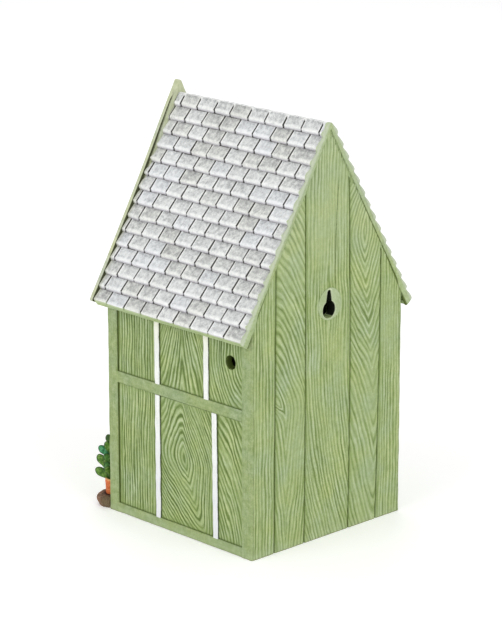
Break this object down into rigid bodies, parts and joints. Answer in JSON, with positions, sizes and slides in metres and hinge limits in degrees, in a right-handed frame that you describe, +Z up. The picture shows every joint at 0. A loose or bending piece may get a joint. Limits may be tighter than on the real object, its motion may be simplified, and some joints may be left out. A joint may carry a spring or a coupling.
{
  "type": "nest box",
  "caption": "Wall-hung nest box cast as a small green timber potting shed, with a steep grey tiled gable roof, framed side walls, a keyhole hanger and a potted plant at one corner.",
  "frame": {"origin": "middle of the body's underside, on the surface the box stands on", "axes": "+Z up, -Y out of the front with the birds' entrance, +Y out of the back with the keyhole hanger, +X towards the right-hand side wall seen from the front"},
  "size_m": [0.1368, 0.1363, 0.2479],
  "materials": {
    "board_green": "cast resin painted sage green, deep wood grain, darker wash in the grain and paler dry-brushed ridges",
    "trim_green": "cast resin painted pale sage green, smoother than the boards",
    "tile_grey": "cast resin painted grey-white, dark grey-brown wash in the joints and white dry-brushed edges",
    "batten_white": "hand-painted off-white over cast resin",
    "terracotta": "cast resin painted orange-brown terracotta",
    "earth_brown": "cast resin painted earth brown",
    "leaf_green": "cast resin painted in several leaf greens"
  },
  "bodies": {
    "root": {"floor_plate": "board_green", "front_wall": "board_green", "back_wall": "board_green", "right_wall": "board_green", "left_wall": "board_green", "front_right_post": "trim_green", "rear_right_post": "trim_green", "front_left_post": "trim_green", "rear_left_post": "trim_green", "right_base_rail": "trim_green", "left_base_rail": "trim_green", "right_mid_rail": "trim_green", "left_mid_rail": "trim_green", "right_upper_front_batten": "batten_white", "right_upper_rear_batten": "batten_white", "right_lower_front_batten": "batten_white", "right_lower_rear_batten": "batten_white", "left_upper_front_batten": "batten_white", "left_upper_rear_batten": "batten_white", "left_lower_front_batten": "batten_white", "left_lower_rear_batten": "batten_white", "right_roof_deck": "trim_green", "left_roof_deck": "trim_green", "right_roof_tiles": "tile_grey", "left_roof_tiles": "tile_grey", "right_eave_fascia": "trim_green", "left_eave_fascia": "trim_green", "right_verge_board": "trim_green", "left_verge_board": "trim_green", "right_gable_board": "trim_green", "left_gable_board": "trim_green", "mound": "earth_brown", "plant_pot": "terracotta", "plant_foliage": "leaf_green"}
  },
  "joints": []
}
